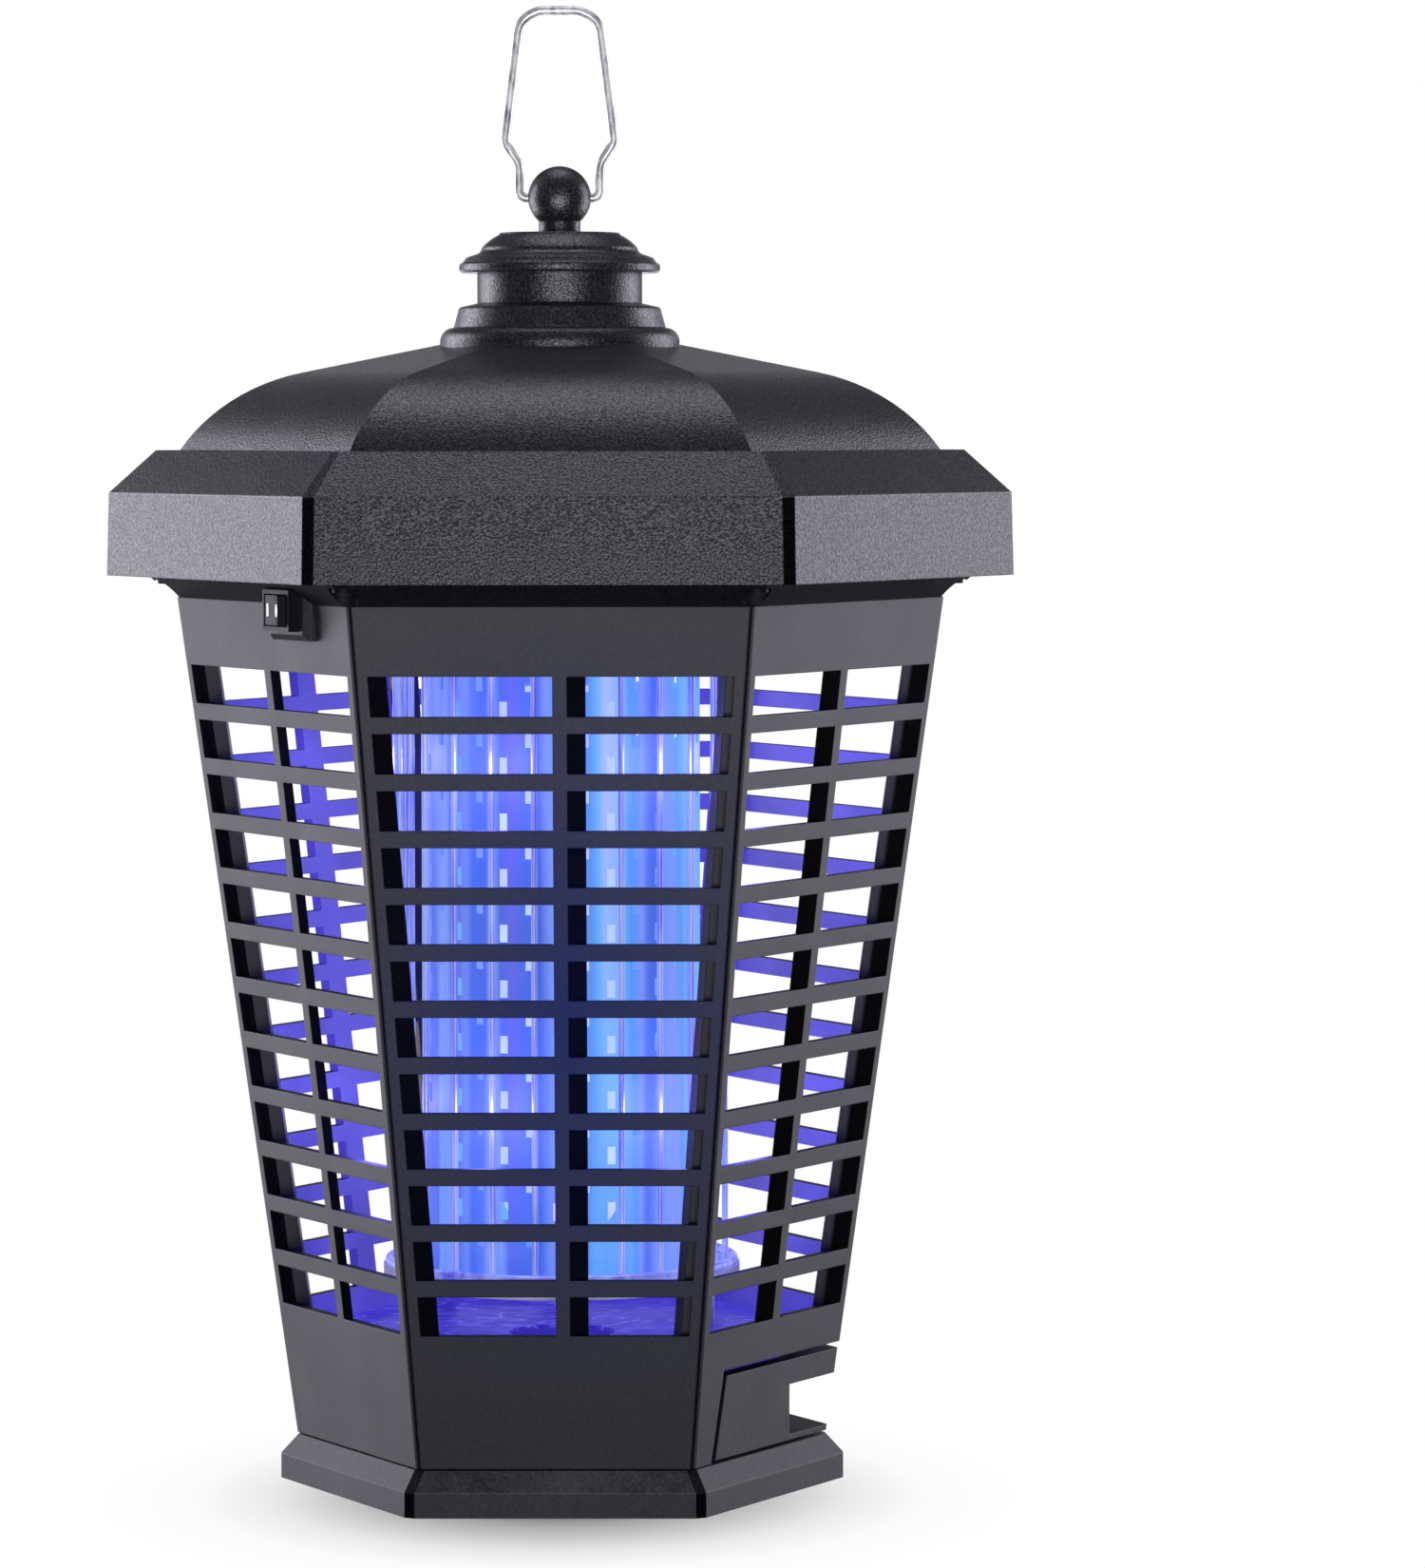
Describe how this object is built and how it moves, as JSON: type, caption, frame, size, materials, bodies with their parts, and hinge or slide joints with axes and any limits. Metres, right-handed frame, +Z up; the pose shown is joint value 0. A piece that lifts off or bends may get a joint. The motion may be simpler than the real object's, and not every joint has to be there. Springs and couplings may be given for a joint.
{
  "type": "electric bug zapper",
  "caption": "Hexagonal lantern-shaped electric insect killer: slatted tapering cage round a UV lamp and grid, wide roof, wire hanging loop, rocker switch, pull-out catch tray.",
  "frame": {"origin": "centre of the base's underside", "axes": "+Z up; +X towards the catch tray's corner; -Y is the front flat side, +Y the rear flat side"},
  "size_m": [0.238, 0.2078, 0.3872],
  "materials": {
    "body_plastic": "smooth satin moulding",
    "roof_plastic": "fine sand texture",
    "switch_plastic": "black gloss",
    "mark_white": "printed white",
    "insulator_white": "moulded white",
    "bail_wire": "bright plated wire",
    "zinc_steel": "zinc plated",
    "grid_metal": "bare drawn metal",
    "lamp_glass": "phosphor-coated tube",
    "circuit_green": "coated board",
    "component_dark": "potted component",
    "lead_insulation": "wire insulation"
  },
  "bodies": {
    "lantern": {"base_plinth": "body_plastic", "base_screws": "zinc_steel", "panel_front": "body_plastic", "panel_front_right": "body_plastic", "panel_rear_right": "body_plastic", "panel_rear": "body_plastic", "panel_rear_left": "body_plastic", "panel_front_left": "body_plastic", "corner_post_tray": "body_plastic", "corner_post_rear_right": "body_plastic", "corner_post_rear_left": "body_plastic", "corner_post_left": "body_plastic", "corner_post_front_left": "body_plastic", "corner_post_front_right": "body_plastic", "tray_rail_front": "body_plastic", "tray_rail_rear": "body_plastic", "cage_floor": "body_plastic", "grid_bottom_insulator": "insulator_white", "grid_top_insulator": "insulator_white", "outer_grid_rods": "grid_metal", "outer_grid_hoops": "grid_metal", "inner_grid": "grid_metal", "lamp_tube": "lamp_glass", "lamp_cap": "insulator_white", "lamp_pins": "zinc_steel", "lamp_socket": "insulator_white", "upper_frame": "body_plastic", "electronics_deck": "body_plastic", "roof_shell": "roof_plastic", "roof_screws": "zinc_steel", "finial_base": "roof_plastic", "finial_cap": "roof_plastic", "hanging_ball": "roof_plastic", "finial_stud": "zinc_steel", "finial_washer": "zinc_steel", "finial_nut": "zinc_steel", "switch_housing": "body_plastic", "switch_body": "switch_plastic", "switch_terminal": "zinc_steel", "cord_gland": "switch_plastic", "gland_nut": "switch_plastic", "circuit_board": "circuit_green", "board_spacers": "insulator_white", "board_screws": "zinc_steel", "multiplier_capacitors": "component_dark", "step_up_transformer": "component_dark", "lamp_choke": "component_dark", "terminal_block": "switch_plastic", "lamp_lead": "lead_insulation", "board_lead": "lead_insulation"},
    "tray": {"catch_tray": "body_plastic"},
    "bail": {"hanging_bail": "bail_wire"},
    "rocker": {"switch_rocker": "switch_plastic", "switch_mark_on": "mark_white", "switch_mark_off": "mark_white"}
  },
  "joints": [
    {"name": "tray_slide", "type": "slide", "parent": "lantern", "child": "tray", "axis": [1, 0, 0], "range_m": [0, 0.085]},
    {"name": "bail_swing", "type": "hinge", "parent": "lantern", "child": "bail", "pos_m": [0, 0, 0.33726], "axis": [1, 0, 0], "range_deg": [-122, 122]},
    {"name": "rocker_rock", "type": "hinge", "parent": "lantern", "child": "rocker", "pos_m": [-0.06715, -0.06209, 0.23125], "axis": [0, 0, 1], "range_deg": [0, 20]}
  ]
}
